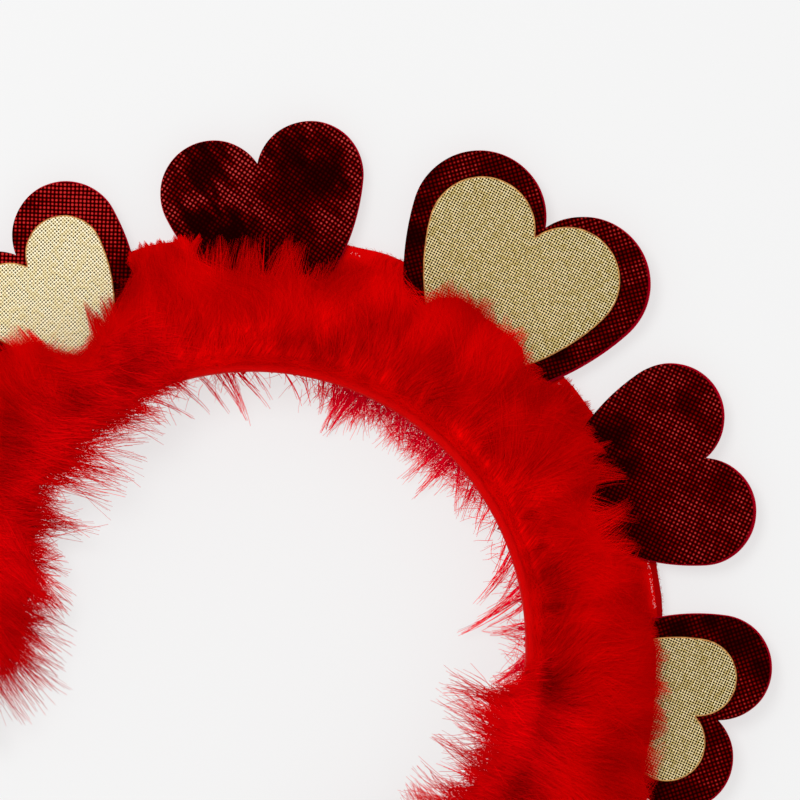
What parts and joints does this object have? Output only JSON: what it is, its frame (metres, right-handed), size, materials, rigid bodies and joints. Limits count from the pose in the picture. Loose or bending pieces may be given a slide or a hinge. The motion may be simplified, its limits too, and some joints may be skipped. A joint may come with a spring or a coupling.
{
  "type": "heart headband",
  "caption": "Costume headband: a satin-covered arc with a felt arch, red and gold fabric hearts that fan out round the crown, and red fur along the front and back.",
  "frame": {"origin": "middle of the headband's box, on the surface that it lies on", "axes": "+Y from the tips to the crown, +Z from the back to the front of the headband, +X to the right seen from the front with the crown up"},
  "size_m": [0.2204, 0.1852, 0.026],
  "materials": {
    "satin": "smooth red satin over a plastic core",
    "felt": "matt red felt",
    "fur": "long red pile",
    "red_weave": "dark red metallic weave",
    "gold_weave": "coarse gold metallic weave"
  },
  "bodies": {
    "root": {"band": "satin", "felt_arch": "felt", "fur_front": "fur", "fur_back": "fur", "heart_1_felt": "felt", "heart_1_red": "red_weave", "heart_2_felt": "felt", "heart_2_red": "red_weave", "heart_3_felt": "felt", "heart_3_red": "red_weave", "heart_4_felt": "felt", "heart_4_red": "red_weave", "heart_5_felt": "felt", "heart_5_red": "red_weave", "heart_1_gold": "gold_weave", "heart_3_gold": "gold_weave", "heart_5_gold": "gold_weave"}
  },
  "joints": []
}
